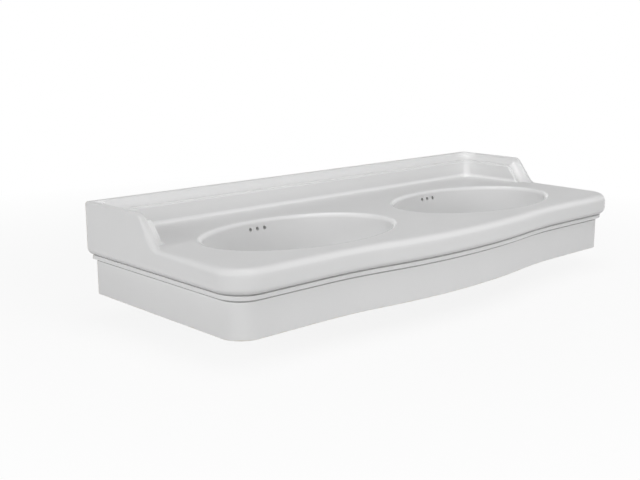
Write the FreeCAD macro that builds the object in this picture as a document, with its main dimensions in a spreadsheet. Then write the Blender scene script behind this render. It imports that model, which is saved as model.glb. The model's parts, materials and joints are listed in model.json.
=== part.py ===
import FreeCAD, Part
import os
import re
import Sketcher

V = FreeCAD.Vector

# Sizes in millimetres. Heights of the casting count from the apron's bottom edge, and depths from its back.
SIZES = {
    # Plan of the apron and the rim
    "rim_width": 1200.0,
    "apron_inset": 20.4,
    "apron_depth": 457.4,
    "bow": 28.9,
    "bow_half_width": 376.0,
    "apron_corner_radius": 45.0,
    # Heights
    "deck_height": 133.5,
    "upstand_height": 60.5,
    # Section of the rim, from the deck down
    "roll_radius": 18.0,
    "rim_face_height": 14.0,
    "belly_radius": 18.0,
    "groove_inset": 17.8,
    "bead_inset": 11.0,
    "bead_edge_radius": 2.2,
    "bead_face_height": 4.6,
    "bead_slope_height": 2.2,
    "quirk_height": 2.6,
    "quirk_depth": 2.4,
    # Moulding inside the upstand, from its top edge inwards and down
    "upstand_top_width": 15.0,
    "upstand_edge_radius": 3.0,
    "upstand_outer_radius": 5.0,
    "cavetto_width": 20.0,
    "cavetto_height": 14.5,
    "cavetto_radius": 22.0,
    "listel_drop": 2.5,
    "listel_width": 3.0,
    "listel_radius": 3.0,
    "cove_radius": 8.0,
    "deck_corner_radius": 6.0,
    # Side returns of the upstand
    "return_length": 189.0,
    "return_slope_run": 46.5,
    "return_bend_inner_radius": 3.0,
    "return_foot_radius": 25.0,
    "return_foot_edge_radius": 10.0,
    # Walls
    "apron_wall": 14.0,
    "rear_wall": 14.0,
    "deck_thickness": 13.5,
    "web_thickness": 12.0,
    "web_foot_height": 20.0,
    # Bowls, placed by the deck that is left round them
    "bowl_side_margin": 89.4,
    "bowl_gap": 80.0,
    "bowl_rear_margin": 133.1,
    "bowl_front_margin": 25.3,
    "bowl_lip_radius": 9.0,
    "bowl_floor_half_length": 62.0,
    "bowl_floor_half_width": 46.0,
    "bowl_wall": 10.0,
    # Overflow
    "overflow_hole_radius": 4.0,
    "overflow_hole_pitch": 19.5,
    "overflow_drop": 18.5,
    "overflow_duct_margin": 3.5,
    "overflow_duct_depth": 12.0,
    "overflow_duct_wall": 8.0,
    "overflow_duct_straight": 30.0,
    "overflow_duct_foot": 83.5,
    # Drain
    "drain_clearance": 2.045,
    "drain_recess_depth": 2.5,
    "drain_boss_radius": 42.0,
    "drain_chamber_radius": 32.0,
    "drain_boss_bottom_height": 1.5,
    "drain_chamber_floor": 8.5,
    "drain_chamber_height": 13.5,
    # Fixing holes in the rear wall
    "fixing_height": 60.0,
    "fixing_inner_spacing": 270.0,
    "fixing_outer_spacing": 830.0,
    "fixing_hole_radius": 9.0,
    # Bushes in the fixing holes
    "bush_clearance": 0.15,
    "bush_bore_radius": 5.25,
    "bush_flange_radius": 15.0,
    "bush_flange_thickness": 3.0,
    "bush_setback": 0.5,
    # Waste, heights counted from its seat in the ceramic
    "thread_radius": 20.955,
    "thread_clearance": 0.1,
    "waste_wall": 3.455,
    "flange_overlap": 9.0,
    "flange_recess_clearance": 1.0,
    "flange_edge": 1.2,
    "flange_thickness": 3.0,
    "flange_crown_radius": 20.0,
    "flange_lip": 3.0,
    "flange_seal_thickness": 1.5,
    "flange_seal_margin": 0.5,
    "mouth_flare": 4.5,
    "mouth_depth": 6.5,
    "slot_width": 16.0,
    "slot_height": 10.0,
    "cone_seal_seat": 3.0,
    "cone_seal_flare": 5.0,
    "cone_seal_height": 10.0,
    "slip_washer_thickness": 2.0,
    "back_nut_height": 10.0,
    "back_nut_wall": 5.045,
    "relief_gap": 3.5,
    "relief_width": 2.0,
    "relief_depth": 1.5,
    "tail_length": 24.0,
    "tail_chamfer": 1.0,
    # Cartridge of the plug
    "bridge_height": 4.0,
    "bridge_arm_width": 3.0,
    "housing_radius": 9.0,
    "housing_wall": 2.0,
    "housing_floor": 3.0,
    "housing_stub_radius": 5.0,
    "stub_clearance": 0.05,
    "cartridge_nut_height": 5.0,
    "cartridge_nut_wall": 2.0,
    "stub_proud": 1.0,
    "collar_thickness": 3.0,
    "running_clearance": 0.08,
    "stop_gap": 0.3,
    "spindle_radius": 4.0,
    "spindle_collar_height": 4.0,
    "spindle_guide_radius": 2.2,
    "spindle_guide_length": 12.0,
    "spindle_bottom_gap": 5.2,
    "spring_clearance": 1.2,
    "spring_wire_radius": 0.6,
    "spring_turns": 7.0,
    "spring_end_gap": 0.1,
    # Plug
    "plug_travel": 9.5,
    "plug_closed_gap": 1.0,
    "plug_bottom_gap": 3.5,
    "cap_margin": 2.0,
    "cap_edge": 2.0,
    "cap_rise": 4.0,
    "cap_hub_margin": 4.5,
    "cap_hub_drop": 6.0,
    "cap_socket_depth": 7.0,
    "plug_seal_height": 4.0,
    "plug_seal_clearance": 0.5,
}

doc = FreeCAD.newDocument("double_washbasin")
sheet = doc.addObject("Spreadsheet::Sheet", "Sizes")
for row, (name, number) in enumerate(SIZES.items(), start=1):
    sheet.set("A%d" % row, name)
    sheet.set("B%d" % row, str(number))
    sheet.setAlias("B%d" % row, name)
doc.recompute()


def formula(text):
    """Point each size's name in a formula at its cell."""
    return re.sub(r"[a-z_]+", lambda word: "Sizes." + word[0] if word[0] in SIZES else word[0], text)


def value(text):
    return float(sheet.evalExpression(formula(text)))


def bind(thing, **formulas):
    for place, text in formulas.items():
        thing.setExpression(place.replace("__", "."), formula(text))


def sketch(body, name, plane, offset="0"):
    """A sketch on one of the body's own planes, moved along that plane's normal."""
    flat = next(face for face in body.Origin.OriginFeatures if face.Role == plane)
    drawn = body.newObject("Sketcher::SketchObject", name)
    drawn.AttachmentSupport = [(flat, "")]
    drawn.MapMode = "FlatFace"
    drawn.setExpression("AttachmentOffset.Base.z", formula(offset))
    return drawn


def arc(start, end, radius, turn):
    """The short arc from start to end; turn is 1 for anticlockwise and -1 for clockwise."""
    chord = end - start
    rise = (radius ** 2 - (chord.Length / 2) ** 2) ** 0.5
    centre = (start + end) / 2 + V(-chord.y, chord.x, 0).normalize() * rise * turn
    middle = centre + ((start + end) / 2 - centre).normalize() * radius
    return Part.Arc(start, middle, end)


def draw(drawn, points, closed=True):
    """Lines and arcs through points (x, y) or (x, y, radius, turn), each bound to its formulas.

    The radius and turn belong to the arc that leads to that point."""
    corners = [V(value(point[0]), value(point[1]), 0) for point in points]
    first = 0 if closed else 1
    edges = []
    ends = []
    for index in range(first, len(points)):
        start, end, point = corners[index - 1], corners[index], points[index]
        if len(point) == 2:
            edges.append(Part.LineSegment(start, end))
            ends.append((1, 2))
        else:
            edges.append(arc(start, end, value(point[2]), point[3]))
            ends.append((1, 2) if point[3] > 0 else (2, 1))
    base = drawn.GeometryCount
    drawn.addGeometry(edges)
    rules = []
    bindings = []
    count = len(edges)
    for order in range(count):
        point = points[first + order]
        edge = base + order
        if closed or order < count - 1:
            following = (order + 1) % count
            rules.append(Sketcher.Constraint("Coincident", edge, ends[order][1],
                                             base + following, ends[following][0]))
        for axis, text in (("DistanceX", point[0]), ("DistanceY", point[1])):
            bindings.append((len(rules), text))
            rules.append(Sketcher.Constraint(axis, -1, 1, edge, ends[order][1], value(text)))
        if len(point) > 2:
            bindings.append((len(rules), point[2]))
            rules.append(Sketcher.Constraint("Radius", edge, value(point[2])))
    if not closed:
        for axis, text in (("DistanceX", points[0][0]), ("DistanceY", points[0][1])):
            bindings.append((len(rules), text))
            rules.append(Sketcher.Constraint(axis, -1, 1, base, ends[0][0], value(text)))
    start_rule = drawn.ConstraintCount
    drawn.addConstraint(rules)
    for rule, text in bindings:
        drawn.setExpression("Constraints[%d]" % (start_rule + rule), formula(text))
    return drawn


def feature(body, kind, name, profile, **formulas):
    made = body.newObject("PartDesign::" + kind, name)
    made.Profile = profile
    bind(made, **formulas)
    return made


def pipe(body, kind, name, profile, spine):
    made = feature(body, kind, name, profile)
    made.Spine = (spine, [])
    return made


# Formulas that several sketches share

top_height = "(deck_height + upstand_height)"
half_rim = "(rim_width / 2)"
half_apron = "(rim_width / 2 - apron_inset)"
bow_tangent = "(bow / bow_half_width)"
bow_sine = f"(2 * {bow_tangent} / (1 + {bow_tangent} ^ 2))"
bow_cosine = f"((1 - {bow_tangent} ^ 2) / (1 + {bow_tangent} ^ 2))"
crown_share = 0.6
upstand_inset = "(upstand_top_width + cavetto_width + listel_width + listel_radius)"
moulding_depth = "(upstand_edge_radius + cavetto_height + listel_drop + listel_radius)"
deck_inset = f"({upstand_inset} + cove_radius)"


def plan(inward, back):
    """The apron's outline moved inwards: sides, round corners and a front that bows out in one S each way."""
    side = f"({half_apron} - ({inward}))"
    front = f"(apron_depth - ({inward}))"
    corner = f"(apron_corner_radius - ({inward}))"
    crown = f"({crown_share} * bow_half_width / {bow_sine} - ({inward}))"
    hollow = f"({1 - crown_share} * bow_half_width / {bow_sine} + ({inward}))"
    turn_x = f"({crown_share} * bow_half_width - ({inward}) * {bow_sine})"
    turn_y = f"(apron_depth + bow * {1 - crown_share} - ({inward}) * {bow_cosine})"
    return [
        (f"-{side}", f"-({back})"),
        (f"-{side}", f"-({front} - {corner})"),
        (f"-({side} - {corner})", f"-{front}", corner, 1),
        ("-bow_half_width", f"-{front}"),
        (f"-{turn_x}", f"-{turn_y}", hollow, -1),
        (turn_x, f"-{turn_y}", crown, 1),
        ("bow_half_width", f"-{front}", hollow, -1),
        (f"{side} - {corner}", f"-{front}"),
        (side, f"-({front} - {corner})", corner, 1),
        (side, f"-({back})"),
    ]


belly_height = "sqrt(belly_radius ^ 2 - (belly_radius - groove_inset) ^ 2)"
groove = f"(deck_height - roll_radius - rim_face_height - {belly_height})"
bead_low = f"({groove} - bead_edge_radius - bead_face_height - bead_edge_radius)"


def rim_section():
    """The rim's section at the left end of the back, drawn from the apron outwards."""
    inner = f"(-{half_apron} + apron_wall)"
    return [
        (inner, "deck_height"),
        (f"-{half_rim}", "deck_height"),
        (f"-{half_rim}", "deck_height - roll_radius - rim_face_height"),
        (f"-{half_rim} + groove_inset", groove, "belly_radius", 1),
        (f"-{half_rim} + bead_inset + bead_edge_radius", groove),
        (f"-{half_rim} + bead_inset", f"{groove} - bead_edge_radius", "bead_edge_radius", 1),
        (f"-{half_rim} + bead_inset", f"{groove} - bead_edge_radius - bead_face_height"),
        (f"-{half_rim} + bead_inset + bead_edge_radius", bead_low, "bead_edge_radius", 1),
        (f"-{half_apron}", f"{bead_low} - bead_slope_height"),
        (inner, f"{bead_low} - bead_slope_height"),
    ]


def quirk_section():
    """The narrow groove under the bead, cut into the apron's face."""
    top = f"({bead_low} - bead_slope_height)"
    return [
        (f"-{half_apron} - quirk_depth", top),
        (f"-{half_apron} - quirk_depth", f"{top} - quirk_height"),
        (f"-{half_apron}", f"{top} - quirk_height"),
        (f"-{half_apron} + quirk_depth", f"{top} - quirk_height / 2"),
        (f"-{half_apron} + quirk_depth", top),
    ]


def return_outline():
    """The upstand from its side: flat top, a bend, a straight slope and a hollow foot on the deck."""
    slope = "sqrt(upstand_height ^ 2 + return_slope_run ^ 2)"
    half_tangent = f"(upstand_height / ({slope} + return_slope_run))"
    bend = f"(return_bend_inner_radius + {moulding_depth})"
    cut = f"({bend} * {half_tangent})"
    foot_cut = f"(return_foot_radius * {half_tangent})"
    along_y = f"(return_slope_run / {slope})"
    along_z = f"(upstand_height / {slope})"
    foot = "(return_length + return_slope_run)"
    return {
        "bend": bend,
        "top_end": f"(return_length - {cut})",
        "slope_start": (f"(return_length + {cut} * {along_y})", f"({top_height} - {cut} * {along_z})"),
        "slope_end": (f"({foot} - {foot_cut} * {along_y})", f"(deck_height + {foot_cut} * {along_z})"),
        "foot_end": f"({foot} + {foot_cut})",
    }


def make_casting():
    body = doc.addObject("PartDesign::Body", "casting")
    side = return_outline()
    over = "roll_radius"
    side_low = "(deck_height - roll_radius - rim_face_height / 2)"

    upstand = draw(sketch(body, "upstand_side", "YZ_Plane"), [
        ("0", side_low),
        ("0", top_height),
        (f"-{side['top_end']}", top_height),
        (f"-{side['slope_start'][0]}", side["slope_start"][1], side["bend"], 1),
        (f"-{side['slope_end'][0]}", side["slope_end"][1]),
        (f"-{side['foot_end']}", "deck_height", "return_foot_radius", -1),
        (f"-{side['foot_end']}", side_low),
    ])
    block = feature(body, "Pad", "upstand_block", upstand, Length="rim_width")
    block.SideType = "Symmetric"

    # Straight inner face with a cove on the deck, all round the inside
    far = f"({side['foot_end']} + {over})"
    overlap = "(deck_corner_radius / 3)"
    face_spine = draw(sketch(body, "face_spine", "XY_Plane"), [
        (f"-({half_rim} - {upstand_inset})", f"-{far}"),
        (f"-({half_rim} - {upstand_inset})", f"-({deck_inset} + deck_corner_radius)"),
        (f"-({half_rim} - {deck_inset} - deck_corner_radius)", f"-{upstand_inset}",
         "cove_radius + deck_corner_radius", -1),
        (f"{half_rim} - {deck_inset} - deck_corner_radius", f"-{upstand_inset}"),
        (f"{half_rim} - {upstand_inset}", f"-({deck_inset} + deck_corner_radius)",
         "cove_radius + deck_corner_radius", -1),
        (f"{half_rim} - {upstand_inset}", f"-{far}"),
    ], closed=False)
    face_section = draw(sketch(body, "face_section", "XZ_Plane", far), [
        (f"-({half_rim} - {deck_inset} - 2 * {overlap})", "deck_height"),
        (f"-({half_rim} - {deck_inset} - 2 * {overlap})", f"{top_height} + {over}"),
        (f"-({half_rim} - {upstand_inset})", f"{top_height} + {over}"),
        (f"-({half_rim} - {upstand_inset})", "deck_height + cove_radius"),
        (f"-({half_rim} - {deck_inset})", "deck_height", "cove_radius", 1),
    ])
    pipe(body, "SubtractivePipe", "inner_face", face_section, face_spine)
    clear_x = f"({half_rim} - {deck_inset} - {overlap})"
    clear = draw(sketch(body, "deck_clear_outline", "XY_Plane", "deck_height"), [
        (f"-{clear_x}", f"-({deck_inset} + {overlap})"),
        (f"-{clear_x}", f"-{far}"),
        (clear_x, f"-{far}"),
        (clear_x, f"-({deck_inset} + {overlap})"),
    ])
    pocket = feature(body, "Pocket", "deck_clear", clear, Length=f"upstand_height + {over}")
    pocket.Reversed = True

    # Moulding under the top edge, which follows the outline of the returns down their slope
    moulding_spine = draw(sketch(body, "moulding_spine", "XY_Plane"), [
        (f"-({half_rim} - {upstand_inset})", f"-{side['top_end']}"),
        (f"-({half_rim} - {upstand_inset})", f"-({deck_inset} + deck_corner_radius)"),
        (f"-({half_rim} - {deck_inset} - deck_corner_radius)", f"-{upstand_inset}",
         "cove_radius + deck_corner_radius", -1),
        (f"{half_rim} - {deck_inset} - deck_corner_radius", f"-{upstand_inset}"),
        (f"{half_rim} - {upstand_inset}", f"-({deck_inset} + deck_corner_radius)",
         "cove_radius + deck_corner_radius", -1),
        (f"{half_rim} - {upstand_inset}", f"-{side['top_end']}"),
    ], closed=False)
    listel = f"({top_height} - {moulding_depth})"

    def moulding_section(name, sign):
        turn = 1 if sign < 0 else -1
        across = [
            f"({half_rim} - {deck_inset} - {overlap} / 2)",
            f"({half_rim} - {upstand_inset})",
            f"({half_rim} - {upstand_inset} + listel_radius)",
            f"({half_rim} - upstand_top_width - cavetto_width)",
            f"({half_rim} - upstand_top_width)",
            f"({half_rim} - upstand_top_width + upstand_edge_radius)",
        ]
        inner, face, corner, hollow, edge, flat = [f"{sign} * {text}" for text in across]
        return draw(sketch(body, name, "XZ_Plane", side["top_end"]), [
            (inner, f"{top_height} + {over}"),
            (flat, f"{top_height} + {over}"),
            (flat, top_height),
            (edge, f"{top_height} - upstand_edge_radius", "upstand_edge_radius", -turn),
            (hollow, f"{top_height} - upstand_edge_radius - cavetto_height", "cavetto_radius", turn),
            (hollow, f"{listel} + listel_radius"),
            (corner, f"{listel} + listel_radius"),
            (face, listel, "listel_radius", -turn),
            (inner, listel),
        ])

    pipe(body, "SubtractivePipe", "moulding", moulding_section("moulding_section", -1), moulding_spine)
    for label, sign in (("left", -1), ("right", 1)):
        slope_spine = draw(sketch(body, label + "_slope_spine", "YZ_Plane", f"{sign} * {half_rim}"), [
            (f"-{side['top_end']}", top_height),
            (f"-{side['slope_start'][0]}", side["slope_start"][1], side["bend"], 1),
            (f"-{side['slope_end'][0]}", side["slope_end"][1]),
            (f"-{side['foot_end']}", "deck_height", "return_foot_radius", -1),
            (f"-({side['foot_end']} + {over})", "deck_height"),
        ], closed=False)
        section = moulding_section(label + "_slope_section", sign)
        pipe(body, "SubtractivePipe", label + "_slope_moulding", section, slope_spine)

    # Apron, deck and rim
    apron = draw(sketch(body, "apron_outline", "XY_Plane"), plan("0", "0"))
    feature(body, "Pad", "apron_block", apron, Length="deck_height")
    rim_spine = draw(sketch(body, "rim_spine", "XY_Plane"), plan("0", "0"), closed=False)
    section = draw(sketch(body, "rim_section", "XZ_Plane"), rim_section())
    pipe(body, "AdditivePipe", "rim", section, rim_spine)
    section = draw(sketch(body, "quirk_section", "XZ_Plane"), quirk_section())
    pipe(body, "SubtractivePipe", "quirk", section, rim_spine)
    hollow = draw(sketch(body, "hollow_outline", "XY_Plane"), plan("apron_wall", "rear_wall"))
    pocket = feature(body, "Pocket", "underside_hollow", hollow, Length="deck_height - deck_thickness")
    pocket.Reversed = True
    return body


# The bowls, their overflow and their drain, in the casting's own heights

bowl_half_length = "((rim_width / 2 - bowl_side_margin - bowl_gap / 2) / 2)"
bowl_half_width = "((apron_depth - bowl_front_margin - bowl_rear_margin) / 2)"
bowl_x = f"(bowl_gap / 2 + {bowl_half_length})"
bowl_setback = f"(bowl_rear_margin + {bowl_half_width})"
floor_height = "(drain_boss_bottom_height + drain_chamber_floor + drain_chamber_height + bowl_wall)"
drain_radius = "(thread_radius + drain_clearance)"
flange_radius = f"({drain_radius} + flange_overlap)"
bowl_depth_shares = [0, 0.15, 0.35, 0.55, 0.75, 0.88, 0.96, 1]
bowl_fullness = 1.6
lip_inset_share = 0.78


def bowl_form(side, sign, wall):
    """A smooth solid through ellipses that grow out of a flat floor into a near upright mouth.

    It is the hollow of the bowl where the wall is 0, and the outside of its shell otherwise."""
    kind = "hollow" if wall == "0" else "shell"
    rings = []
    for number, depth_share in enumerate(bowl_depth_shares):
        width_share = (1 - depth_share ** bowl_fullness) ** (1 / bowl_fullness)
        ring = doc.addObject("Part::Ellipse", "%s_%s_ring_%d" % (side, kind, number))
        height = f"deck_height - (deck_height - {floor_height} + ({wall})) * {depth_share}"
        if kind == "shell" and number == 0:
            height = "deck_height - deck_thickness / 2"
        lengths = []
        for half, floor in ((bowl_half_length, "bowl_floor_half_length"),
                            (bowl_half_width, "bowl_floor_half_width")):
            mouth = f"({half} - bowl_lip_radius * {lip_inset_share})"
            lengths.append(f"{floor} + ({wall}) + ({mouth} - {floor}) * {width_share}")
        bind(ring, MajorRadius=lengths[0], MinorRadius=lengths[1], Placement__Base__x=f"{sign} * {bowl_x}",
             Placement__Base__y=f"-{bowl_setback}", Placement__Base__z=height)
        rings.append(ring)
    form = doc.addObject("Part::Loft", side + "_bowl_" + kind)
    form.Sections = rings
    form.Solid = True
    return form


def cylinder(name, radius, height, x="0", y="0", z="0", along_y=False):
    """A cylinder that stands on its place, or lies from it towards the wall."""
    made = doc.addObject("Part::Cylinder", name)
    if along_y:
        made.Placement.Rotation = FreeCAD.Rotation(V(1, 0, 0), -90)
    bind(made, Radius=radius, Height=height, Placement__Base__x=x, Placement__Base__y=y, Placement__Base__z=z)
    return made


def joined(name, pieces):
    made = doc.addObject("Part::MultiFuse", name)
    made.Shapes = pieces
    return made


def cut(name, base, tool):
    made = doc.addObject("Part::Cut", name)
    made.Base = base
    made.Tool = tool
    return made


seat_height = f"({floor_height} - drain_recess_depth)"
chamber_floor = "(drain_boss_bottom_height + drain_chamber_floor)"
duct_top = "(deck_height - overflow_drop + 1.5 * overflow_hole_radius)"
duct_knee = f"({duct_top} - overflow_duct_straight)"
duct_back = "(bowl_rear_margin - overflow_duct_depth)"
duct_run = f"({bowl_half_width} + overflow_duct_depth - overflow_duct_foot)"
duct_width = "(2 * overflow_hole_pitch + 2 * overflow_hole_radius + 2 * overflow_duct_margin)"


def duct(side, sign, inner):
    """The overflow duct behind a bowl: straight down, then a slant to the drain's chamber."""
    kind = "duct_hollow" if inner else "duct_wall"
    body = doc.addObject("PartDesign::Body", side + "_" + kind)
    drawn = sketch(body, side + "_" + kind + "_side", "YZ_Plane", f"{sign} * {bowl_x}")
    if inner:
        back, low, top = duct_back, chamber_floor, duct_top
        width = duct_width
    else:
        back = f"({duct_back} - overflow_duct_wall)"
        low, top = "drain_boss_bottom_height", "(deck_height - deck_thickness / 2)"
        width = f"{duct_width} + 2 * overflow_duct_wall"
    run = f"({duct_run} * ({duct_knee} - {low}) / ({duct_knee} - {chamber_floor}))"
    draw(drawn, [
        (f"-{back}", top),
        (f"-{bowl_setback}", top),
        (f"-{bowl_setback}", low),
        (f"-({back} + {run})", low),
        (f"-{back}", duct_knee),
    ])
    pad = feature(body, "Pad", side + "_" + kind + "_pad", drawn, Length=width)
    pad.SideType = "Symmetric"
    return body


def outer_edges(shape):
    """The casting's outer top edge, from one return's top round the front to the other's, with radii.

    The rounding is smallest on the upstand, and grows down the slope and along the side of the deck."""
    roll, small, foot = value("roll_radius"), value("upstand_outer_radius"), value("return_foot_edge_radius")
    foot_depth, corner_depth = value(return_outline()["foot_end"]), value("apron_depth - apron_corner_radius")
    deck, top, half = value("deck_height"), value(top_height), value(half_rim)
    near = value("bead_edge_radius") / 100
    straight_side = value("apron_depth - apron_corner_radius - apron_inset")
    found = []
    for number, edge in enumerate(shape.Edges, start=1):
        first, last = edge.ParameterRange
        points = [edge.valueAt(first), edge.valueAt((first + last) / 2), edge.valueAt(last)]
        on_side = all(abs(abs(point.x) - half) < near and point.z > deck - near for point in points)
        on_back = all(abs(point.y) < near for point in points)
        on_front = all(abs(point.z - deck) < near and point.y < -straight_side for point in points)
        if not on_front and (on_back or not on_side):
            continue
        heights = [points[0].z, points[2].z]
        if on_front:
            found.append((number, roll, roll))
        elif max(heights) < deck + near:
            shares = [(-points[end].y - foot_depth) / (corner_depth - foot_depth) for end in (0, 2)]
            found.append((number, *[foot + (roll - foot) * share for share in shares]))
        elif min(heights) < deck + near:
            found.append((number, foot, foot))
        elif max(heights) > top - near:
            found.append((number, small, small))
        elif heights[0] > heights[1]:
            found.append((number, small, foot))
        else:
            found.append((number, foot, small))
    return found


def lip_edges(shape):
    """The edge where each bowl meets the deck."""
    deck, radius = value("deck_height"), value("bowl_lip_radius")
    near = value("bead_edge_radius") / 100
    inside = value(f"{half_rim} - {deck_inset}")
    half_width, setback = value(bowl_half_width), value(bowl_setback)
    found = []
    for number, edge in enumerate(shape.Edges, start=1):
        box = edge.BoundBox
        level = abs(box.ZMin - deck) < near and abs(box.ZMax - deck) < near
        if level and -inside < box.XMin and box.XMax < inside \
                and -setback - half_width < box.YMin and box.YMax < half_width - setback:
            found.append((number, radius, radius))
    return found


def fillet(name, base, find):
    doc.recompute()
    made = doc.addObject("Part::Fillet", name)
    made.Base = base
    made.Edges = find(base.Shape)
    return made


def make_ceramic():
    rounded = fillet("rounded_casting", make_casting(), outer_edges)
    web = doc.addObject("Part::Box", "web")
    bind(web, Length="web_thickness", Width="apron_depth + bow - apron_wall / 2 - rear_wall / 2",
         Height="deck_height - deck_thickness / 2 - web_foot_height", Placement__Base__x="-web_thickness / 2",
         Placement__Base__y="-(apron_depth + bow - apron_wall / 2)", Placement__Base__z="web_foot_height")
    walls = [rounded, web]
    hollows = []
    for side, sign in (("left", -1), ("right", 1)):
        centre = {"x": f"{sign} * {bowl_x}", "y": f"-{bowl_setback}"}
        boss = cylinder(side + "_drain_boss", "drain_boss_radius",
                        f"{floor_height} - bowl_wall / 2 - drain_boss_bottom_height",
                        z="drain_boss_bottom_height", **centre)
        shell = bowl_form(side, sign, "bowl_wall")
        walls += [shell, boss, duct(side, sign, False)]
        chamber = cylinder(side + "_drain_chamber", "drain_chamber_radius",
                           f"{floor_height} - bowl_wall / 2 - {chamber_floor}", z=chamber_floor, **centre)
        duct_space = joined(side + "_duct_space", [chamber, duct(side, sign, True)])
        hollows.append(cut(side + "_overflow_space", duct_space, shell))
        hollows.append(bowl_form(side, sign, "0"))
        hollows.append(cylinder(side + "_drain_hole", drain_radius, floor_height, **centre))
        hollows.append(cylinder(side + "_drain_recess", f"{flange_radius} + flange_recess_clearance",
                                "drain_recess_depth + bowl_wall", z=seat_height, **centre))
        for hole in (-1, 0, 1):
            hollows.append(cylinder(
                "%s_overflow_hole_%d" % (side, hole + 2), "overflow_hole_radius",
                "2 * bowl_wall + overflow_duct_depth / 2", along_y=True,
                x=f"{sign} * {bowl_x} + {hole} * overflow_hole_pitch",
                y=f"-({duct_back} + overflow_duct_depth + 2 * bowl_wall)", z="deck_height - overflow_drop"))
    for spacing in ("fixing_inner_spacing", "fixing_outer_spacing"):
        for sign in (-1, 1):
            hollows.append(cylinder("fixing_hole", "fixing_hole_radius", "3 * rear_wall", along_y=True,
                                    x=f"{sign} * {spacing} / 2", y="-2 * rear_wall", z="fixing_height"))
    solid = cut("pierced_casting", joined("casting_walls", walls), joined("casting_hollows", hollows))
    ceramic = fillet("ceramic_basin", solid, lip_edges)
    ceramic.Label = "ceramic_basin"
    bind(ceramic, Placement__Base__z="-fixing_height")
    return ceramic


# One waste and its plug under each bowl, in heights counted from the waste's seat in the ceramic

boss_bottom = f"(drain_boss_bottom_height - {seat_height})"
cone_bottom = f"({boss_bottom} - cone_seal_height)"
washer_bottom = f"({cone_bottom} - slip_washer_thickness)"
nut_bottom = f"({washer_bottom} - back_nut_height)"
relief_top = f"({nut_bottom} - relief_gap)"
tail_top = f"({relief_top} - relief_width)"
tail_end = f"({tail_top} - tail_length)"
flange_top = "(flange_seal_thickness + flange_thickness)"
waste_bore_radius = "(thread_radius - waste_wall)"
mouth_radius = f"({waste_bore_radius} + mouth_flare)"
mouth_slope = "(mouth_flare / mouth_depth)"
cap_seat = f"({flange_top} + plug_closed_gap + plug_travel)"
cap_radius = f"({flange_radius} - cap_margin)"
cap_hub_radius = f"({waste_bore_radius} - cap_hub_margin)"
collar_top = f"({cap_seat} - cap_hub_drop - plug_travel - plug_bottom_gap)"
housing_top = f"({collar_top} - collar_thickness)"
spindle_stop = f"({housing_top} - stop_gap)"
spindle_collar_bottom = f"({spindle_stop} - spindle_collar_height)"
spindle_bottom = f"({spindle_collar_bottom} - spindle_guide_length)"
housing_floor_top = f"({spindle_bottom} - plug_travel - spindle_bottom_gap)"
bridge_top = f"({housing_floor_top} - housing_floor)"
bridge_bottom = f"({bridge_top} - bridge_height)"
housing_bore_radius = "(housing_radius - housing_wall)"
spring_radius = f"({housing_bore_radius} - spring_clearance - spring_wire_radius)"


def at_bowl(body, sign):
    bind(body, Placement__Base__x=f"{sign} * {bowl_x}", Placement__Base__y=f"-{bowl_setback}",
         Placement__Base__z=f"{seat_height} - fixing_height")
    return body


def turned(name, sign, points):
    """A piece turned about the waste's axis from half its section, drawn as (radius, height)."""
    body = doc.addObject("PartDesign::Body", name)
    section = draw(sketch(body, name + "_section", "XZ_Plane"), points)
    made = feature(body, "Revolution", name + "_turning", section)
    made.ReferenceAxis = (section, ["V_Axis"])
    return at_bowl(body, sign)


def ring(name, sign, bore, radius, low, high):
    return turned(name, sign, [(bore, low), (radius, low), (radius, high), (bore, high)])


def circle(drawn, radius):
    drawn.addGeometry(Part.Circle(V(0, 0, 0), V(0, 0, 1), value(radius)))
    number = drawn.GeometryCount - 1
    drawn.addConstraint(Sketcher.Constraint("Coincident", number, 3, -1, 1))
    drawn.addConstraint(Sketcher.Constraint("Radius", number, value(radius)))
    drawn.setExpression("Constraints[%d]" % (drawn.ConstraintCount - 1), formula(radius))
    return drawn


def hexagon(across_flats):
    half, reach = f"({across_flats} / 2)", f"({across_flats} / sqrt(3))"
    return [(reach, "0"), (f"{reach} / 2", half), (f"-{reach} / 2", half), (f"-{reach}", "0"),
            (f"-{reach} / 2", f"-{half}"), (f"{reach} / 2", f"-{half}")]


def nut(name, sign, across_flats, bore, low, height):
    body = doc.addObject("PartDesign::Body", name)
    outline = draw(sketch(body, name + "_outline", "XY_Plane", low), hexagon(across_flats))
    feature(body, "Pad", name + "_block", outline, Length=height)
    hole = circle(sketch(body, name + "_bore", "XY_Plane", low), bore)
    pocket = feature(body, "Pocket", name + "_hole", hole, Length=height)
    pocket.Reversed = True
    return at_bowl(body, sign)


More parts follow.
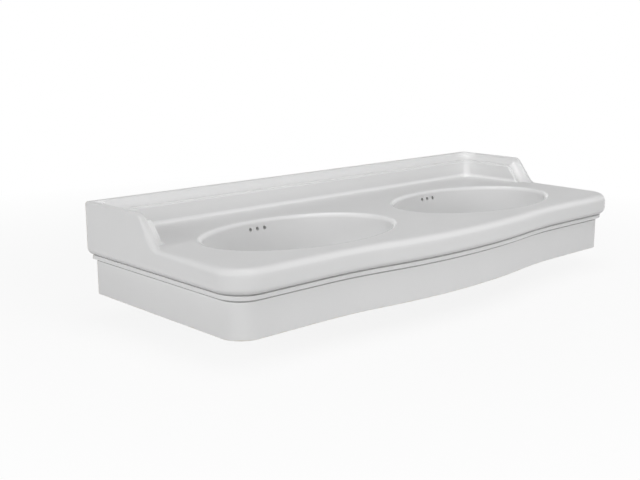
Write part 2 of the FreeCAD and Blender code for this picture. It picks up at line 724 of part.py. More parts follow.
def make_waste_body(name, sign):
    """Flanged tube with slots for the overflow and a cross bridge that carries the cartridge."""
    body = turned(name, sign, [
        (waste_bore_radius, tail_end),
        ("thread_radius - tail_chamfer", tail_end),
        ("thread_radius", f"{tail_end} + tail_chamfer"),
        ("thread_radius", tail_top),
        ("thread_radius - relief_depth", tail_top),
        ("thread_radius - relief_depth", relief_top),
        ("thread_radius", relief_top),
        ("thread_radius", "flange_seal_thickness"),
        (flange_radius, "flange_seal_thickness"),
        (flange_radius, "flange_seal_thickness + flange_edge"),
        (f"{mouth_radius} + flange_lip", flange_top, "flange_crown_radius", 1),
        (mouth_radius, flange_top),
        (waste_bore_radius, f"{flange_top} - mouth_depth"),
    ])
    slot_middle = f"(({chamber_floor} + {floor_height} - bowl_wall) / 2 - {seat_height})"
    slot = draw(sketch(body, name + "_slot_outline", "XZ_Plane"), [
        ("-slot_width / 2", f"{slot_middle} - slot_height / 2"),
        ("slot_width / 2", f"{slot_middle} - slot_height / 2"),
        ("slot_width / 2", f"{slot_middle} + slot_height / 2"),
        ("-slot_width / 2", f"{slot_middle} + slot_height / 2"),
    ])
    slots = feature(body, "Pocket", name + "_slots", slot, Length="4 * thread_radius")
    slots.SideType = "Symmetric"
    half, reach = "(bridge_arm_width / 2)", f"(({waste_bore_radius} + thread_radius) / 2)"
    cross = draw(sketch(body, name + "_bridge_outline", "XY_Plane", bridge_bottom), [
        (reach, f"-{half}"), (reach, half), (half, half),
        (half, reach), (f"-{half}", reach), (f"-{half}", half),
        (f"-{reach}", half), (f"-{reach}", f"-{half}"), (f"-{half}", f"-{half}"),
        (f"-{half}", f"-{reach}"), (half, f"-{reach}"), (half, f"-{half}"),
    ])
    feature(body, "Pad", name + "_bridge", cross, Length="bridge_height")
    hub = circle(sketch(body, name + "_hub_outline", "XY_Plane", bridge_bottom), "housing_radius")
    feature(body, "Pad", name + "_hub", hub, Length="bridge_height")
    hole = circle(sketch(body, name + "_hub_bore", "XY_Plane", bridge_bottom),
                  "housing_stub_radius + stub_clearance")
    pocket = feature(body, "Pocket", name + "_hub_hole", hole, Length="bridge_height")
    pocket.Reversed = True
    return body


def make_spring(name, sign):
    body = doc.addObject("PartDesign::Body", name)
    low = f"({housing_floor_top} + spring_end_gap + spring_wire_radius)"
    high = f"({spindle_collar_bottom} - spring_end_gap - spring_wire_radius)"
    wire = sketch(body, name + "_wire", "XZ_Plane")
    wire.addGeometry(Part.Circle(V(value(spring_radius), value(low), 0), V(0, 0, 1),
                                 value("spring_wire_radius")))
    wire.addConstraint(Sketcher.Constraint("DistanceX", -1, 1, 0, 3, value(spring_radius)))
    wire.addConstraint(Sketcher.Constraint("DistanceY", -1, 1, 0, 3, value(low)))
    wire.addConstraint(Sketcher.Constraint("Radius", 0, value("spring_wire_radius")))
    for number, text in enumerate((spring_radius, low, "spring_wire_radius")):
        wire.setExpression("Constraints[%d]" % number, formula(text))
    coil = feature(body, "AdditiveHelix", name + "_coil", wire)
    coil.ReferenceAxis = (wire, ["V_Axis"])
    coil.Mode = "height-turns-angle"
    bind(coil, Height=f"{high} - {low}", Turns="spring_turns")
    return at_bowl(body, sign)


def make_waste(side, sign):
    socket_radius = "(spindle_radius + stub_clearance)"
    hub_radius = f"({cap_hub_radius} + stub_clearance)"
    socket_top = f"({cap_seat} - cap_hub_drop + cap_socket_depth)"
    seal_high = f"({mouth_radius} + {mouth_slope} * plug_closed_gap - plug_seal_clearance)"
    seal_low = f"({seal_high} - {mouth_slope} * plug_seal_height)"
    cone_top_radius = f"({drain_radius} + cone_seal_seat)"
    cone_radius = f"({cone_top_radius} + cone_seal_flare)"
    bore = "(thread_radius + thread_clearance)"
    housing_low = f"({bridge_bottom} - cartridge_nut_height - stub_proud)"
    return [
        make_waste_body(side + "_waste_body", sign),
        ring(side + "_flange_seal", sign, bore, f"{flange_radius} - flange_seal_margin", "0",
             "flange_seal_thickness"),
        turned(side + "_cone_seal", sign, [
            (bore, cone_bottom), (cone_radius, cone_bottom),
            (cone_top_radius, boss_bottom), (bore, boss_bottom)]),
        ring(side + "_slip_washer", sign, bore, cone_radius, washer_bottom, cone_bottom),
        nut(side + "_back_nut", sign, "(2 * (thread_radius + back_nut_wall))", bore, nut_bottom,
            "back_nut_height"),
        turned(side + "_cartridge_housing", sign, [
            ("0", housing_low), ("housing_stub_radius", housing_low),
            ("housing_stub_radius", bridge_top), ("housing_radius", bridge_top),
            ("housing_radius", housing_top), (housing_bore_radius, housing_top),
            (housing_bore_radius, housing_floor_top), ("0", housing_floor_top)]),
        nut(side + "_cartridge_nut", sign, "(2 * (housing_stub_radius + cartridge_nut_wall))",
            "housing_stub_radius + stub_clearance", f"{bridge_bottom} - cartridge_nut_height",
            "cartridge_nut_height"),
        ring(side + "_cartridge_collar", sign, "(spindle_radius + running_clearance)", "housing_radius",
             housing_top, collar_top),
        turned(side + "_click_spindle", sign, [
            ("0", spindle_bottom), ("spindle_guide_radius", spindle_bottom),
            ("spindle_guide_radius", spindle_collar_bottom),
            (f"{housing_bore_radius} - running_clearance", spindle_collar_bottom),
            (f"{housing_bore_radius} - running_clearance", spindle_stop),
            ("spindle_radius", spindle_stop), ("spindle_radius", socket_top), ("0", socket_top)]),
        make_spring(side + "_click_spring", sign),
        turned(side + "_plug_cap", sign, [
            (socket_radius, f"{cap_seat} - cap_hub_drop"), (cap_hub_radius, f"{cap_seat} - cap_hub_drop"),
            (cap_hub_radius, cap_seat), (cap_radius, cap_seat), (cap_radius, f"{cap_seat} + cap_edge"),
            ("0", f"{cap_seat} + cap_edge + cap_rise",
             f"(({cap_radius} ^ 2 + cap_rise ^ 2) / (2 * cap_rise))", 1),
            ("0", socket_top), (socket_radius, socket_top)]),
        turned(side + "_plug_seal", sign, [
            (hub_radius, f"{cap_seat} - plug_seal_height"), (seal_low, f"{cap_seat} - plug_seal_height"),
            (seal_high, cap_seat), (hub_radius, cap_seat)]),
    ]


def make_bushes():
    """Four flanged bushes in the rear wall: one node, because they are alike."""
    bushes = []
    for spacing in ("fixing_inner_spacing", "fixing_outer_spacing"):
        for sign in (-1, 1):
            x = f"{sign} * {spacing} / 2"
            sleeve = cylinder("bush_sleeve", "fixing_hole_radius - bush_clearance",
                              "rear_wall - bush_setback", along_y=True, x=x, y="-rear_wall")
            flange = cylinder("bush_flange", "bush_flange_radius", "bush_flange_thickness", along_y=True, x=x,
                              y="-rear_wall - bush_flange_thickness")
            bore = cylinder("bush_bore", "bush_bore_radius", "rear_wall + 2 * bush_flange_thickness",
                            along_y=True, x=x, y="-rear_wall - 1.5 * bush_flange_thickness")
            bushes.append(cut("bush", joined("bush_blank", [sleeve, flange]), bore))
    group = doc.addObject("Part::Compound", "fixing_bushes")
    group.Links = bushes
    return group


def main():
    nodes = [make_ceramic(), make_bushes()]
    for side, sign in (("left", -1), ("right", 1)):
        nodes += make_waste(side, sign)
    doc.recompute()
    for thing in doc.Objects:
        if "Invalid" in thing.State or "Error" in thing.State:
            raise RuntimeError("%s failed: %s" % (thing.Name, thing.State))
    os.makedirs("parts", exist_ok=True)
    for node in nodes:
        shape = node.Shape
        if shape.isNull() or not shape.isValid() or not shape.Solids:
            raise RuntimeError(node.Label + " is not a valid solid")
        shape.exportStep("parts/%s.step" % node.Label)
        print("%-26s %d solids, %.1f cm3" % (node.Label, len(shape.Solids), shape.Volume / 1000))


main()
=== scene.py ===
# %% [markdown]
# A double washbasin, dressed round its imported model.
# The basin is one large casting of vitreous china. It was poured as liquid clay into a plaster mould,
# dried, sprayed with glaze and fired, so it has no sharp edges and its surface is glass. Under each bowl
# hangs a brass waste with a push-to-open plug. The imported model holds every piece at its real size. This
# lesson gives each one its finish, and remodels the small fittings with the threads, chamfers and seams
# that real ones have.

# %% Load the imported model
import json
import math
import bmesh
import bpy
from mathutils import Matrix, Vector

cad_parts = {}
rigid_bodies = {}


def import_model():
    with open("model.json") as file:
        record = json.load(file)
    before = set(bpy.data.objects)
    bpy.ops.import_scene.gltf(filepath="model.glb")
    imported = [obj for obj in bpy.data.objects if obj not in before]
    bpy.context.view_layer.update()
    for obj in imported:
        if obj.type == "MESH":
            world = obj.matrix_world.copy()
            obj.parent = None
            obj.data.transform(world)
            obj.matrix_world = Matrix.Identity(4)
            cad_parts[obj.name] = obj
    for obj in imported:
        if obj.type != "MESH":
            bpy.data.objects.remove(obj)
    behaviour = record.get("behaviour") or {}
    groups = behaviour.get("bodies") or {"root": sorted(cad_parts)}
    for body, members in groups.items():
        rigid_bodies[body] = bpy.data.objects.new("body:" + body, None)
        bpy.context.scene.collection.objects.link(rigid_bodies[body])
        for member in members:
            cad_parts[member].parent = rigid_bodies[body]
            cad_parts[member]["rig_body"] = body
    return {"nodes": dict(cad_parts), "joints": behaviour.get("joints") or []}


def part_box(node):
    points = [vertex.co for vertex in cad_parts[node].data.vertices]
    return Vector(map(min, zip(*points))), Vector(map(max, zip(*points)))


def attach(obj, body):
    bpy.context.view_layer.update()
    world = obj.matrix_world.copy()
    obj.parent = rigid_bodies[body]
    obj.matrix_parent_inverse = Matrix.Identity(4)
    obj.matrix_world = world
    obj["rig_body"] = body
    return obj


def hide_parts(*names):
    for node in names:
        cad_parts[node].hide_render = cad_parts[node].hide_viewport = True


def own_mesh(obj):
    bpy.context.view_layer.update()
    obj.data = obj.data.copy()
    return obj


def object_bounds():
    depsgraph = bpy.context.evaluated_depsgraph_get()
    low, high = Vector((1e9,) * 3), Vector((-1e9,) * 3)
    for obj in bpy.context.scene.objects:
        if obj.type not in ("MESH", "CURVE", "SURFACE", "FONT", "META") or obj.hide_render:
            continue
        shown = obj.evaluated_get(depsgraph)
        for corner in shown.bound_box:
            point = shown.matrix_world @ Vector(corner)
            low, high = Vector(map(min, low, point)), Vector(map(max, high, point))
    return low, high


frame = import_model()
cad_low, cad_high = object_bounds()
nodes = frame["nodes"]
mm = 0.001
print("nodes:", len(nodes), "size in metres:", [round(side, 4) for side in cad_high - cad_low])

# %% [markdown]
# The camera comes first, because everything after it is judged through it. The photograph was taken with a
# long lens from the left front corner, a little above the deck. Its place was worked out from the straight
# edges of the basin, whose real sizes are known. The lens is written in millimetres for a sensor 36 mm
# wide, as a photographer would say it.

# %% Camera
camera_place = Vector((-1.5747, -1.7231, 0.4692))
camera_heading = math.radians(43.18)
camera_pitch = math.radians(-12.14)
lens_mm = 55.02
sensor_mm = 36.0
camera = bpy.data.objects.new("camera", bpy.data.cameras.new("camera"))
camera.data.sensor_width = sensor_mm
camera.data.lens = lens_mm
camera.location = camera_place
camera.rotation_euler = (math.radians(90) + camera_pitch, 0, -camera_heading)
bpy.context.scene.collection.objects.link(camera)
bpy.context.scene.camera = camera
bpy.context.scene.view_settings.view_transform = "Standard"
print("camera:", round(camera_place.length, 3), "m from the back of the basin")

# %% [markdown]
# The studio is a pale floor, a white world and four soft lamps. A product photographer hides the room: the
# background burns out to white while the basin keeps its greys. Here the floor and the world look white to
# the camera, to reflections and through glass, but light the basin only at their plain level, so the glaze
# renders about as its colour is written. The floor still shows the shadow. A shader is a tree of small
# nodes, and the sums and masks in it are easier to read as a few functions.

# %% Sums and masks in a shader tree
def give(tree, value, socket):
    """Feed a socket from another one, or set it to a number or a colour."""
    if isinstance(value, bpy.types.NodeSocket):
        tree.links.new(value, socket)
    else:
        socket.default_value = (*value, 1) if isinstance(value, tuple) else value


def calculate(tree, operation, *values):
    """A Math node on sockets or plain numbers, and its result."""
    node = tree.nodes.new("ShaderNodeMath")
    node.operation = operation
    for value, socket in zip(values, node.inputs):
        give(tree, value, socket)
    return node.outputs[0]


def any_of(tree, *masks):
    """A mask that is 1 where one of several is: the highest of them."""
    highest = masks[0]
    for mask in masks[1:]:
        highest = calculate(tree, "MAXIMUM", highest, mask)
    return highest


def all_of(tree, *masks):
    """A mask that is 1 only where all of several are: their product."""
    product = masks[0]
    for mask in masks[1:]:
        product = calculate(tree, "MULTIPLY", product, mask)
    return product


def ramp(tree, value, start, end, low, high, way="LINEAR"):
    """A number that goes from low to high while a value goes from start to end."""
    node = tree.nodes.new("ShaderNodeMapRange")
    node.interpolation_type = way
    tree.links.new(value, node.inputs["Value"])
    for socket, number in (("From Min", start), ("From Max", end), ("To Min", low), ("To Max", high)):
        give(tree, number, node.inputs[socket])
    return node.outputs[0]


print("functions for a tree:", [f.__name__ for f in (give, calculate, any_of, all_of, ramp)])

# %% World
def seen_directly(tree):
    """A mask that is 1 for rays that come from the camera, a reflection or a transparent piece."""
    ray = tree.nodes.new("ShaderNodeLightPath").outputs
    return any_of(tree, ray["Is Camera Ray"], ray["Is Glossy Ray"], ray["Is Transmission Ray"])


room_light = 0.12
paper_white = 1.0
world = bpy.data.worlds.new("studio")
bpy.context.scene.world = world
world.use_nodes = True
tree = world.node_tree
tree.nodes.clear()
mixed = tree.nodes.new("ShaderNodeMixShader")
tree.links.new(seen_directly(tree), mixed.inputs["Fac"])
for strength, socket in ((room_light, mixed.inputs[1]), (paper_white, mixed.inputs[2])):
    background = tree.nodes.new("ShaderNodeBackground")
    background.inputs["Color"].default_value = (1, 1, 1, 1)
    background.inputs["Strength"].default_value = strength
    tree.links.new(background.outputs[0], socket)
tree.links.new(mixed.outputs[0], tree.nodes.new("ShaderNodeOutputWorld").inputs["Surface"])
print("world light:", room_light)

# %% Floor
def finish(name):
    """A new node-based material, with its tree and its shader."""
    material = bpy.data.materials.new(name)
    material.use_nodes = True
    return material, material.node_tree, material.node_tree.nodes["Principled BSDF"]


def object_place(tree):
    """Where a point is, in metres in the basin's own frame."""
    return tree.nodes.new("ShaderNodeTexCoord").outputs["Object"]


floor_size = 12.0
floor_mesh = bmesh.new()
bmesh.ops.create_grid(floor_mesh, x_segments=1, y_segments=1, size=floor_size / 2)
bmesh.ops.translate(floor_mesh, vec=(0, 0, cad_low.z), verts=floor_mesh.verts)
floor = bpy.data.objects.new("floor", bpy.data.meshes.new("floor"))
floor_mesh.to_mesh(floor.data)
floor_mesh.free()
bpy.context.scene.collection.objects.link(floor)

shadow_reach, white_reach = 0.5, 1.6
glow_share_near, glow_share_far = 0.88, 1.0
paper, tree, shader = finish("studio paper")
shader.inputs["Base Color"].default_value = (0.86, 0.86, 0.86, 1)
shader.inputs["Roughness"].default_value = 0.9
glow = tree.nodes.new("ShaderNodeEmission")
glow.inputs["Strength"].default_value = paper_white
away = tree.nodes.new("ShaderNodeVectorMath")
away.operation = "LENGTH"
tree.links.new(object_place(tree), away.inputs[0])
glow_share = ramp(tree, away.outputs["Value"], shadow_reach, white_reach, glow_share_near, glow_share_far)
mixed = tree.nodes.new("ShaderNodeMixShader")
tree.links.new(all_of(tree, seen_directly(tree), glow_share), mixed.inputs["Fac"])
tree.links.new(shader.outputs[0], mixed.inputs[1])
tree.links.new(glow.outputs[0], mixed.inputs[2])
tree.links.new(mixed.outputs[0], tree.nodes["Material Output"].inputs["Surface"])
floor.data.materials.append(paper)
print("floor at", round(cad_low.z, 4), "m")

# %% Lamps
basin_middle = (cad_low + cad_high) / 2
lamp_distance = 2.8
softbox_width, softbox_height = 1.4, 1.0


def softbox(name, azimuth, elevation, watts):
    """A soft lamp that faces the basin. Azimuth 0 is in front of it, and 90 on its left."""
    turn, lift = math.radians(azimuth), math.radians(elevation)
    away = Vector((-math.sin(turn) * math.cos(lift), -math.cos(turn) * math.cos(lift), math.sin(lift)))
    lamp = bpy.data.lights.new(name, "AREA")
    lamp.shape = "RECTANGLE"
    lamp.size, lamp.size_y = softbox_width, softbox_height
    lamp.energy = watts
    holder = bpy.data.objects.new(name, lamp)
    holder.location = basin_middle + away * lamp_distance
    holder.rotation_euler = (-away).to_track_quat("-Z", "Y").to_euler()
    bpy.context.scene.collection.objects.link(holder)


softbox("side_lamp", azimuth=90, elevation=15, watts=20.6)
softbox("key_lamp", azimuth=0, elevation=60, watts=13.4)
softbox("top_lamp", azimuth=0, elevation=89, watts=17.0)
softbox("low_lamp", azimuth=0, elevation=5, watts=24.7)

# %% [markdown]
# Now the finishes. Each one is a material made of nodes, and it reads Object coordinates, which are metres
# in the basin's own frame. Three effects come back in several finishes, so they are shader groups, built
# once: a patchy value for gloss or colour, a fine grain in the normals, and the rings that a lathe leaves
# on turned metal.

# %% Making and using shader groups
def effect(name, inputs, output="Value"):
    """An empty shader group, with the sockets that it is given and the one that it gives."""
    group = bpy.data.node_groups.new(name, "ShaderNodeTree")
    for socket, default in inputs.items():
        kind = "NodeSocketVector" if default is None else "NodeSocketFloat"
        made = group.interface.new_socket(socket, in_out="INPUT", socket_type=kind)
        if default is not None:
            made.default_value = default
    kind = "NodeSocketFloat" if output == "Value" else "NodeSocketVector"
    group.interface.new_socket(output, in_out="OUTPUT", socket_type=kind)
    given = group.nodes.new("NodeGroupInput").outputs
    return group, given, group.nodes.new("NodeGroupOutput").inputs[output]


def place(tree, group, vector, **values):
    """Use a group in a material with this material's own values, and give its output."""
    node = tree.nodes.new("ShaderNodeGroup")
    node.node_tree = group
    tree.links.new(vector, node.inputs["Vector"])
    for socket, number in values.items():
        node.inputs[socket].default_value = number
    return node.outputs[0]


def split(tree, vector):
    """The X, Y and Z of a vector."""
    node = tree.nodes.new("ShaderNodeSeparateXYZ")
    tree.links.new(vector, node.inputs[0])
    return node.outputs


def noise_in(group, given, detail):
    """A noise that reads a group's own Vector and Scale."""
    noise = group.nodes.new("ShaderNodeTexNoise")
    noise.inputs["Detail"].default_value = detail
    for socket in ("Vector", "Scale"):
        group.links.new(given[socket], noise.inputs[socket])
    return noise.outputs[0]


def raise_by(group, given, pattern):
    """The normals of a surface that a pattern raises by the group's own Height."""
    bump = group.nodes.new("ShaderNodeBump")
    group.links.new(pattern, bump.inputs["Height"])
    group.links.new(given["Height"], bump.inputs["Distance"])
    return bump.outputs[0]


print("functions for groups:", [f.__name__ for f in (effect, place, split, noise_in, raise_by)])

# %% Patchy value
patchy, given, result = effect("patchy", {"Vector": None, "Scale": 20.0, "Low": 0.0, "High": 1.0})
noise_low, noise_high = 0.3, 0.7
noise = noise_in(patchy, given, detail=3.0)
patchy.links.new(ramp(patchy, noise, noise_low, noise_high, given["Low"], given["High"]), result)
print("group:", patchy.name)

# %% Grain
grain, given, result = effect("grain", {"Vector": None, "Scale": 500.0, "Height": 0.02 * mm}, "Normal")
grain.links.new(raise_by(grain, given, noise_in(grain, given, detail=2.0)), result)
print("group:", grain.name)

# %% Turning marks
turning_marks, given, result = effect(
    "turning marks", {"Vector": None, "Pitch": 0.4 * mm, "Height": 0.01 * mm}, "Normal")
left_low, left_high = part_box("left_waste_body")
bowl_axis = (left_low + left_high) / 2
axes = split(turning_marks, given["Vector"])
from_axis = (calculate(turning_marks, "SUBTRACT", calculate(turning_marks, "ABSOLUTE", axes["X"]),
                       abs(bowl_axis.x)),
             calculate(turning_marks, "SUBTRACT", axes["Y"], bowl_axis.y))
squares = [calculate(turning_marks, "MULTIPLY", side, side) for side in from_axis]
radius = calculate(turning_marks, "SQRT", calculate(turning_marks, "ADD", *squares))
travel = calculate(turning_marks, "ADD", radius, axes["Z"])
turns = calculate(turning_marks, "DIVIDE", travel, given["Pitch"])
wave = calculate(turning_marks, "SINE", calculate(turning_marks, "MULTIPLY", turns, 2 * math.pi))
turning_marks.links.new(raise_by(turning_marks, given, wave), result)
print("shader groups:", [group.name for group in bpy.data.node_groups])

# %% [markdown]
# The casting keeps its imported shape, and gets its whole look from one material. White glaze is a layer of
# glass over pale clay. It ripples very slightly and its gloss varies. Painted highlights make it whiter in
# the hollow corners, on the inside of the upstand, on the shoulder of the rim and on the lips of the bowls,
# where light gathers. Painted shade makes the narrow grooves under the rim and the underside of the roll
# greyer. The underside is glazed thinly. The back and the foot stood on the kiln shelf or against the wall,
# so they stay bare clay, with a wavy line where the glaze was wiped away. Each of these is a mask, made in a
# group of its own from the place on the casting alone.

# %% Sizes of the casting
half_length = (cad_high.x - cad_low.x) / 2
deck_high = 73.5 * mm
skirt_foot = -60 * mm
upstand_face = 44.5 * mm
return_front = -235 * mm
bowl_middle = (275.3 * mm, -282.6 * mm)
bowl_half_axes = (235.3 * mm, 149.5 * mm)
print("half length of the casting:", round(half_length / mm), "mm")

# %% Functions for the masks
def casting_mask(name):
    """A group that reads a place on the casting, with the X, Y and Z of the place and its result."""
    group, given, result = effect(name, {"Vector": None})
    return group, split(group, given["Vector"]), result


def fade(tree, value, start, end):
    """1 where the value is at start or less, 0 at end or more, and smooth between."""
    return ramp(tree, value, start, end, 1.0, 0.0, "SMOOTHSTEP")


def rise(tree, value, start, end):
    """0 where the value is at start or less, 1 at end or more, and smooth between."""
    return ramp(tree, value, start, end, 0.0, 1.0, "SMOOTHSTEP")


def near(tree, value, target, reach, core=0.5):
    """1 where a value is close to a target, within that part of its reach, and 0 from the reach on."""
    gap = calculate(tree, "ABSOLUTE", calculate(tree, "SUBTRACT", value, target))
    return fade(tree, gap, reach * core, reach)


print("functions for masks:", [f.__name__ for f in (casting_mask, fade, rise, near)])

# %% Hollow corners
# Painted highlight: the glaze is made whiter at the foot of the upstand and in its inner corners, where light
# bounces between the wall and the deck.
cove_reach = 7.5 * mm
cove_middle = deck_high + 4.8 * mm
cove_half_height = 4.6 * mm
inside_end = (32 * mm, 36 * mm)
return_run_out = 20 * mm
corner_reach = 16 * mm
corner_start = 0.5 * mm
hollows, axes, result = casting_mask("hollow corners")
sideways = calculate(hollows, "ABSOLUTE", axes["X"])
inside_ends = fade(hollows, sideways, half_length - inside_end[1], half_length - inside_end[0])
inside_back = fade(hollows, axes["Y"], -inside_end[1], -inside_end[0])
along_return = all_of(hollows, inside_back,
                      rise(hollows, axes["Y"], return_front - return_run_out, return_front))
at_side = all_of(hollows, near(hollows, sideways, half_length - upstand_face, cove_reach), along_return)
at_back = all_of(hollows, near(hollows, axes["Y"], -upstand_face, cove_reach), inside_ends)
at_deck = near(hollows, axes["Z"], cove_middle, cove_half_height, core=0.6)
foot_of_wall = all_of(hollows, any_of(hollows, at_side, at_back), at_deck)
in_corner = all_of(hollows, near(hollows, sideways, half_length - upstand_face, corner_reach),
                   near(hollows, axes["Y"], -upstand_face, corner_reach),
                   calculate(hollows, "GREATER_THAN", axes["Z"], deck_high + corner_start))
hollows.links.new(any_of(hollows, foot_of_wall, in_corner), result)
print("mask:", hollows.name)

# %% Inside of the upstand
# Painted highlight: the inside of the upstand is made whiter, as if lit by light bounced off the deck, fully
# on the returns and less on the back.
outer_part = (8 * mm, 18 * mm)
back_part = (6 * mm, 16 * mm)
above_deck = (1 * mm, 30 * mm)
share_on_back, share_on_return = 0.7, 1.0
return_blur = 4 * mm
upstand, axes, result = casting_mask("inside of the upstand")
sideways = calculate(upstand, "ABSOLUTE", axes["X"])
in_from_ends = fade(upstand, sideways, half_length - outer_part[1], half_length - outer_part[0])
in_from_back = fade(upstand, axes["Y"], -back_part[1], -back_part[0])
raised = rise(upstand, axes["Z"], deck_high + above_deck[0], deck_high + above_deck[1])
return_face = half_length - upstand_face
share = ramp(upstand, sideways, return_face - return_blur, return_face + return_blur, share_on_back,
             share_on_return, "SMOOTHSTEP")
upstand.links.new(all_of(upstand, in_from_ends, in_from_back, raised, share), result)
print("mask:", upstand.name)

# %% Lips of the bowls
# Painted highlight: a whiter band round the lip of each bowl.
lip_place, lip_reach = 0.972, 0.03
lip_depth = (11 * mm, 7 * mm)
lips, axes, result = casting_mask("lips of the bowls")
sideways = calculate(lips, "ABSOLUTE", axes["X"])
squares = []
for value, middle, half in zip((sideways, axes["Y"]), bowl_middle, bowl_half_axes):
    share = calculate(lips, "DIVIDE", calculate(lips, "SUBTRACT", value, middle), half)
    squares.append(calculate(lips, "MULTIPLY", share, share))
outward = calculate(lips, "SQRT", calculate(lips, "ADD", *squares))
high_up = rise(lips, axes["Z"], deck_high - lip_depth[0], deck_high - lip_depth[1])
lips.links.new(all_of(lips, near(lips, outward, lip_place, lip_reach, core=0.6), high_up), result)
print("mask:", lips.name)

# %% Outer part of the rim
# Painted highlight: where the shoulder of the rim is made whiter, fully along the front and half as much at
# the ends.
end_width = 28 * mm
front_part = -425 * mm
corner_part = 950 * mm
deck_blur = (0.5 * mm, 2 * mm)
middle_part = (470 * mm, 570 * mm)
share_in_middle, share_at_ends = 0.95, 0.5
rim, axes, result = casting_mask("outer part of the rim")
sideways = calculate(rim, "ABSOLUTE", axes["X"])
diagonal = calculate(rim, "SUBTRACT", sideways, axes["Y"])
outer_edge = any_of(rim, calculate(rim, "GREATER_THAN", sideways, half_length - end_width),
                    calculate(rim, "LESS_THAN", axes["Y"], front_part),
                    calculate(rim, "GREATER_THAN", diagonal, corner_part))
below_deck = fade(rim, axes["Z"], deck_high + deck_blur[0], deck_high + deck_blur[1])
share = ramp(rim, sideways, *middle_part, share_in_middle, share_at_ends, "SMOOTHSTEP")
rim.links.new(all_of(rim, outer_edge, below_deck, share), result)
print("mask:", rim.name)

# %% Grooves under the rim
# Painted shade: grey lines in the grooves under the rim, and a grey band on the underside of the roll above
# them.
under_roll, under_roll_reach = 25.5 * mm, 3.4 * mm
quirk, quirk_reach = 10.8 * mm, 1.6 * mm
under_roll_shade_height = (1 * mm, 12 * mm)
under_roll_shade_share = 0.62
grooves, axes, result = casting_mask("grooves under the rim")
# Painted shade: the grey band on the underside of the roll, above the groove line.
painted_shade_under_roll = all_of(grooves, calculate(grooves, "GREATER_THAN", axes["Z"], under_roll), under_roll_shade_share,
                 fade(grooves, axes["Z"], under_roll + under_roll_shade_height[0], under_roll + under_roll_shade_height[1]))
lines = any_of(grooves, near(grooves, axes["Z"], under_roll, under_roll_reach, core=0.4),
               near(grooves, axes["Z"], quirk, quirk_reach, core=0.7), painted_shade_under_roll)
grooves.links.new(lines, result)
print("mask:", grooves.name)

# %% Bare clay
wave_height = 1.2 * mm
wiped_foot = (0.8 * mm, 1.4 * mm)
wiped_back = (-2.2 * mm, -1.6 * mm)
bare, given, result = effect("bare clay", {"Vector": None})
axes = split(bare, given["Vector"])
waver = place(bare, patchy, given["Vector"], Scale=60.0, Low=-wave_height, High=wave_height)
height, depth = (calculate(bare, "ADD", axes[axis], waver) for axis in ("Z", "Y"))
bare_foot = fade(bare, height, skirt_foot + wiped_foot[0], skirt_foot + wiped_foot[1])
bare_back = rise(bare, depth, *wiped_back)
bare.links.new(any_of(bare, bare_foot, bare_back), result)
print("mask:", bare.name)

# %% Inside of the skirt
skirt_end = (550 * mm, 558 * mm)
skirt_front = (-425 * mm, -415 * mm)
underside = (12 * mm, 6 * mm)
underneath, axes, result = casting_mask("inside of the skirt")
within = all_of(underneath, fade(underneath, calculate(underneath, "ABSOLUTE", axes["X"]), *skirt_end),
                rise(underneath, axes["Y"], *skirt_front))
low_down = fade(underneath, axes["Z"], deck_high - underside[0], deck_high - underside[1])
underneath.links.new(all_of(underneath, within, low_down), result)
print("mask:", underneath.name)

# %% [markdown]
# In the material the masks meet the way the surface faces, which the casting's normals tell. The painted
# shade in the grooves and the painted highlight on the shoulder are only on the outside, and the thin coat
# only where the underside faces down. The mask of the painted highlights also brings in a clear coat, so they
# are glossier.

# %% Where each kind of glaze, painted highlight and painted shade lies
glaze, tree, shader = finish("glazed ceramic")
vector = object_place(tree)
axes = split(tree, vector)
facing = split(tree, tree.nodes.new("ShaderNodeTexCoord").outputs["Normal"])
least_outward, least_down = 0.1, -0.6
underside_slope = (-0.3, -0.1)
shoulder_slope, slope_reach = 0.62, 0.36
to_side = calculate(tree, "MULTIPLY", calculate(tree, "SIGN", axes["X"]), facing["X"])
outward = calculate(tree, "SUBTRACT", to_side, facing["Y"])
facing_out = calculate(tree, "GREATER_THAN", outward, least_outward)
facing_floor = calculate(tree, "LESS_THAN", facing["Z"], least_down)
inside_skirt = place(tree, underneath, vector)
outside = all_of(tree, any_of(tree, facing_out, facing_floor), calculate(tree, "SUBTRACT", 1.0, inside_skirt))
thin = all_of(tree, inside_skirt, fade(tree, facing["Z"], *underside_slope))
# Painted shade in the grooves under the rim, only on the outside.
painted_groove_shade = all_of(tree, place(tree, grooves, vector), outside)
# Painted highlight on the shoulder of the rim, where the surface turns from the deck to the outside.
on_shoulder = near(tree, facing["Z"], shoulder_slope, slope_reach, core=0.35)
shoulder = all_of(tree, on_shoulder, place(tree, rim, vector), facing_out)
# Painted highlight: hollow corners, inside of the upstand, lips and shoulder are made whiter, and glossier
# with a coat.
painted_highlight = any_of(tree, *(place(tree, group, vector) for group in (hollows, upstand, lips)), shoulder)
clay = place(tree, bare, vector)
print("masks used:", [g.name for g in (hollows, upstand, lips, rim, grooves, bare, underneath)])

# %% Glaze
def blended(tree, kind, mask, low, high):
    """From low to high with a mask, each a socket or a value. Kind is FLOAT, RGBA or VECTOR."""
    node = tree.nodes.new("ShaderNodeMix")
    node.data_type = kind
    tree.links.new(mask, node.inputs["Factor"])
    give(tree, low, node.inputs["A"])
    give(tree, high, node.inputs["B"])
    return node.outputs["Result"]


def grey(level):
    """The colour grey at that level, from 0, black, to 1, white."""
    return level, level, level


plain_white = (grey(0.852), grey(0.868))
# Painted highlight: the whiter colour in the hollows, on the upstand, on the lips and on the shoulder.
painted_highlight_white = grey(0.97)
# Painted shade: the grey of the grooves under the rim.
painted_shade_grey = grey(0.52)
thin_white = (0.8, 0.79, 0.77)
clay_shades = ((0.76, 0.73, 0.68), (0.82, 0.8, 0.76))
colour = blended(tree, "RGBA", place(tree, patchy, vector, Scale=9.0), *plain_white)
